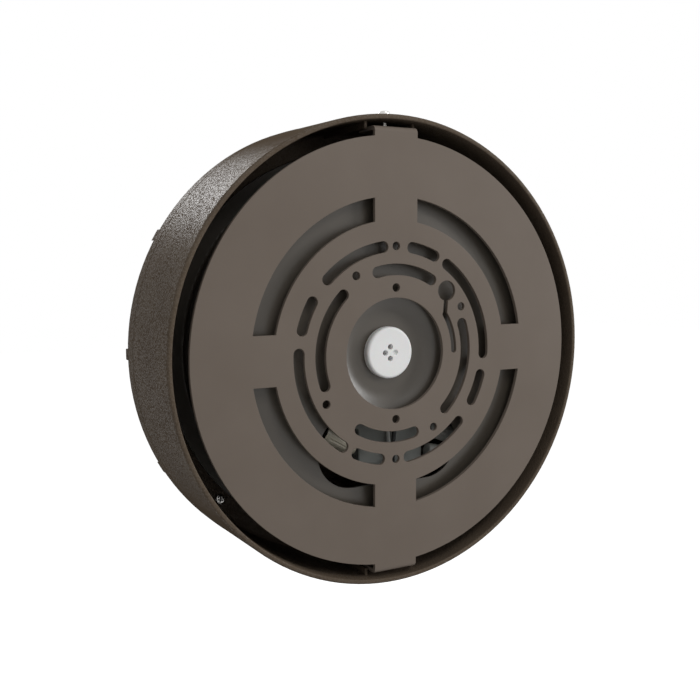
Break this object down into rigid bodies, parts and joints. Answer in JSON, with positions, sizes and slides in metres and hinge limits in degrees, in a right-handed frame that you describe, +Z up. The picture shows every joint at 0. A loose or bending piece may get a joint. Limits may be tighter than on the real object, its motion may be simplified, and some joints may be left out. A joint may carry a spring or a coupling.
{
  "type": "round bulkhead light",
  "caption": "Round edge-lit bulkhead light: an open-backed drum with barred opal lens, held by side screws over the bent tabs of a slotted mounting plate.",
  "frame": {"origin": "centre of the mounting plate's rear face, on the wall", "axes": "+Y points into the wall and -Y out of it along the light's axis; +Z points up from the lower to the upper tab; +X follows by the right-hand rule, along the guard bars"},
  "size_m": [0.1967, 0.0563, 0.1998],
  "materials": {
    "plate_bronze": "warm grey bronze paint, satin",
    "housing_bronze": "die-cast, fine-textured bronze powder coat",
    "gasket_black": "matte silicone",
    "screw_steel": "bright stainless",
    "lens_opal": "opal polycarbonate, fine matte",
    "guide_clear": "clear acrylic, polished",
    "reflector_white": "matte white film",
    "carrier_aluminium": "bare extrusion",
    "strip_white": "white solder mask",
    "chip_yellow": "phosphor",
    "cover_bronze": "dark bronze paint, glossy",
    "grommet_white": "satin silicone",
    "driver_grey": "moulded case",
    "pad_grey": "thermal pad",
    "lead_black": "insulation",
    "lead_white": "insulation",
    "lead_red": "insulation",
    "splice_grey": "twist-on cap",
    "splice_beige": "twist-on cap",
    "ground_copper": "bare copper",
    "terminal_tin": "tinned"
  },
  "bodies": {
    "wall_plate": {"mounting_plate": "plate_bronze"},
    "luminaire": {"housing": "housing_bronze", "front_bezel": "housing_bronze", "guard_bars": "housing_bronze", "bezel_gasket": "gasket_black", "lens_gasket": "gasket_black", "bezel_screws": "screw_steel", "diffuser_lens": "lens_opal", "light_guide": "guide_clear", "reflector_sheet": "reflector_white", "led_carrier": "carrier_aluminium", "led_strip": "strip_white", "led_chips": "chip_yellow", "rear_cover": "cover_bronze", "cover_screws": "screw_steel", "wire_grommet": "grommet_white", "led_driver": "driver_grey", "driver_pad": "pad_grey", "driver_screws": "screw_steel", "floor_bush": "gasket_black", "line_lead": "lead_black", "neutral_lead": "lead_white", "mains_splices": "splice_grey", "ground_lead": "ground_copper", "ground_splice": "splice_beige", "ground_terminal": "terminal_tin", "ground_screw": "screw_steel", "led_lead_positive": "lead_red", "led_lead_negative": "lead_black"},
    "upper_washer": {"top_washer": "screw_steel"},
    "upper_screw": {"top_retaining_screw": "screw_steel"},
    "lower_washer": {"bottom_washer": "screw_steel"},
    "lower_screw": {"bottom_retaining_screw": "screw_steel"}
  },
  "joints": [
    {"name": "lift_off", "type": "slide", "parent": "wall_plate", "child": "luminaire", "axis": [0, -1, 0], "range_m": [0, 0.06]},
    {"name": "upper_screw_travel", "type": "slide", "parent": "luminaire", "child": "upper_washer", "axis": [0, 0, 1], "range_m": [0, 0.0018]},
    {"name": "upper_screw_turn", "type": "hinge", "parent": "upper_washer", "child": "upper_screw", "pos_m": [0, -0.01, 0.098], "axis": [0, 0, 1], "range_deg": [0, 1440]},
    {"name": "lower_screw_travel", "type": "slide", "parent": "luminaire", "child": "lower_washer", "axis": [0, 0, -1], "range_m": [0, 0.0018]},
    {"name": "lower_screw_turn", "type": "hinge", "parent": "lower_washer", "child": "lower_screw", "pos_m": [0, -0.01, -0.098], "axis": [0, 0, -1], "range_deg": [0, 1440]}
  ],
  "couplings": [
    {"joint": "upper_screw_turn", "follows": "upper_screw_travel", "rad_per_m": 13960},
    {"joint": "lower_screw_turn", "follows": "lower_screw_travel", "rad_per_m": 13960}
  ]
}
